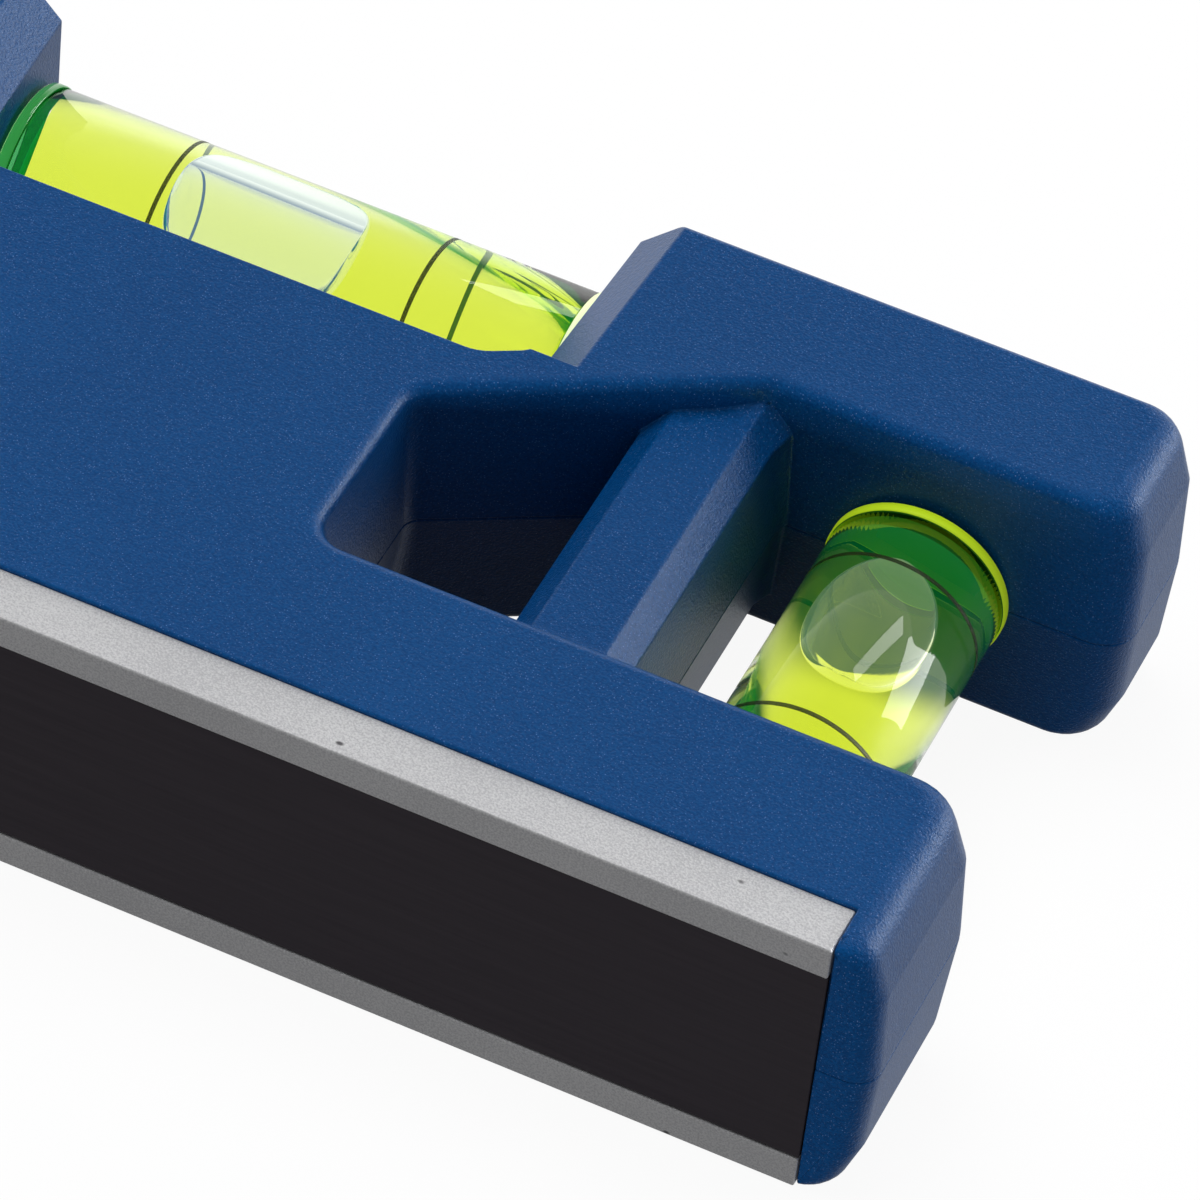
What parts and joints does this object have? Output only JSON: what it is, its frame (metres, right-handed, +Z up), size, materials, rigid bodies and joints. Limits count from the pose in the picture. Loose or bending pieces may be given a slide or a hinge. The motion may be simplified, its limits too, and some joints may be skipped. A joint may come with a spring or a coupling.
{
  "type": "magnetic spirit level",
  "caption": "Small moulded spirit level with a magnetic base rail, a long vial in the top edge and an end vial across the open end.",
  "frame": {"origin": "centre of the underside of the level as it lies on its rear large face: middle of its length and height", "axes": "+X along the length towards the open end with the end vial, +Y from the magnetic measuring face towards the top edge with the long vial, +Z up through the thickness"},
  "size_m": [0.0936, 0.0402, 0.0174],
  "materials": {
    "shell": "spark-eroded blue ABS",
    "rail": "bead-blasted and clear anodised",
    "magnet": "flexible magnet, matt",
    "tape": "double-sided tape",
    "tube": "clear acrylic",
    "liquid": "yellow-green vial liquid",
    "bubble": "air",
    "plug": "clear acrylic",
    "mark": "black ring"
  },
  "bodies": {
    "level": {"front_shell": "shell", "rear_shell": "shell", "base_rail": "rail", "magnet_strip": "magnet", "adhesive_tape": "tape", "level_tube": "tube", "level_liquid": "liquid", "level_plug_left": "plug", "level_plug_right": "plug", "level_mark_left": "mark", "level_mark_right": "mark", "plumb_tube": "tube", "plumb_liquid": "liquid", "plumb_plug_lower": "plug", "plumb_plug_upper": "plug", "plumb_mark_lower": "mark", "plumb_mark_upper": "mark"},
    "level_bubble": {"level_bubble": "bubble"},
    "plumb_bubble": {"plumb_bubble": "bubble"}
  },
  "joints": [
    {"name": "level_bubble_travel", "type": "slide", "parent": "level", "child": "level_bubble", "axis": [1, 0, 0], "range_m": [-0.007, 0.011]},
    {"name": "plumb_bubble_travel", "type": "slide", "parent": "level", "child": "plumb_bubble", "axis": [0, 1, 0], "range_m": [-0.0061, 0.0013]}
  ]
}
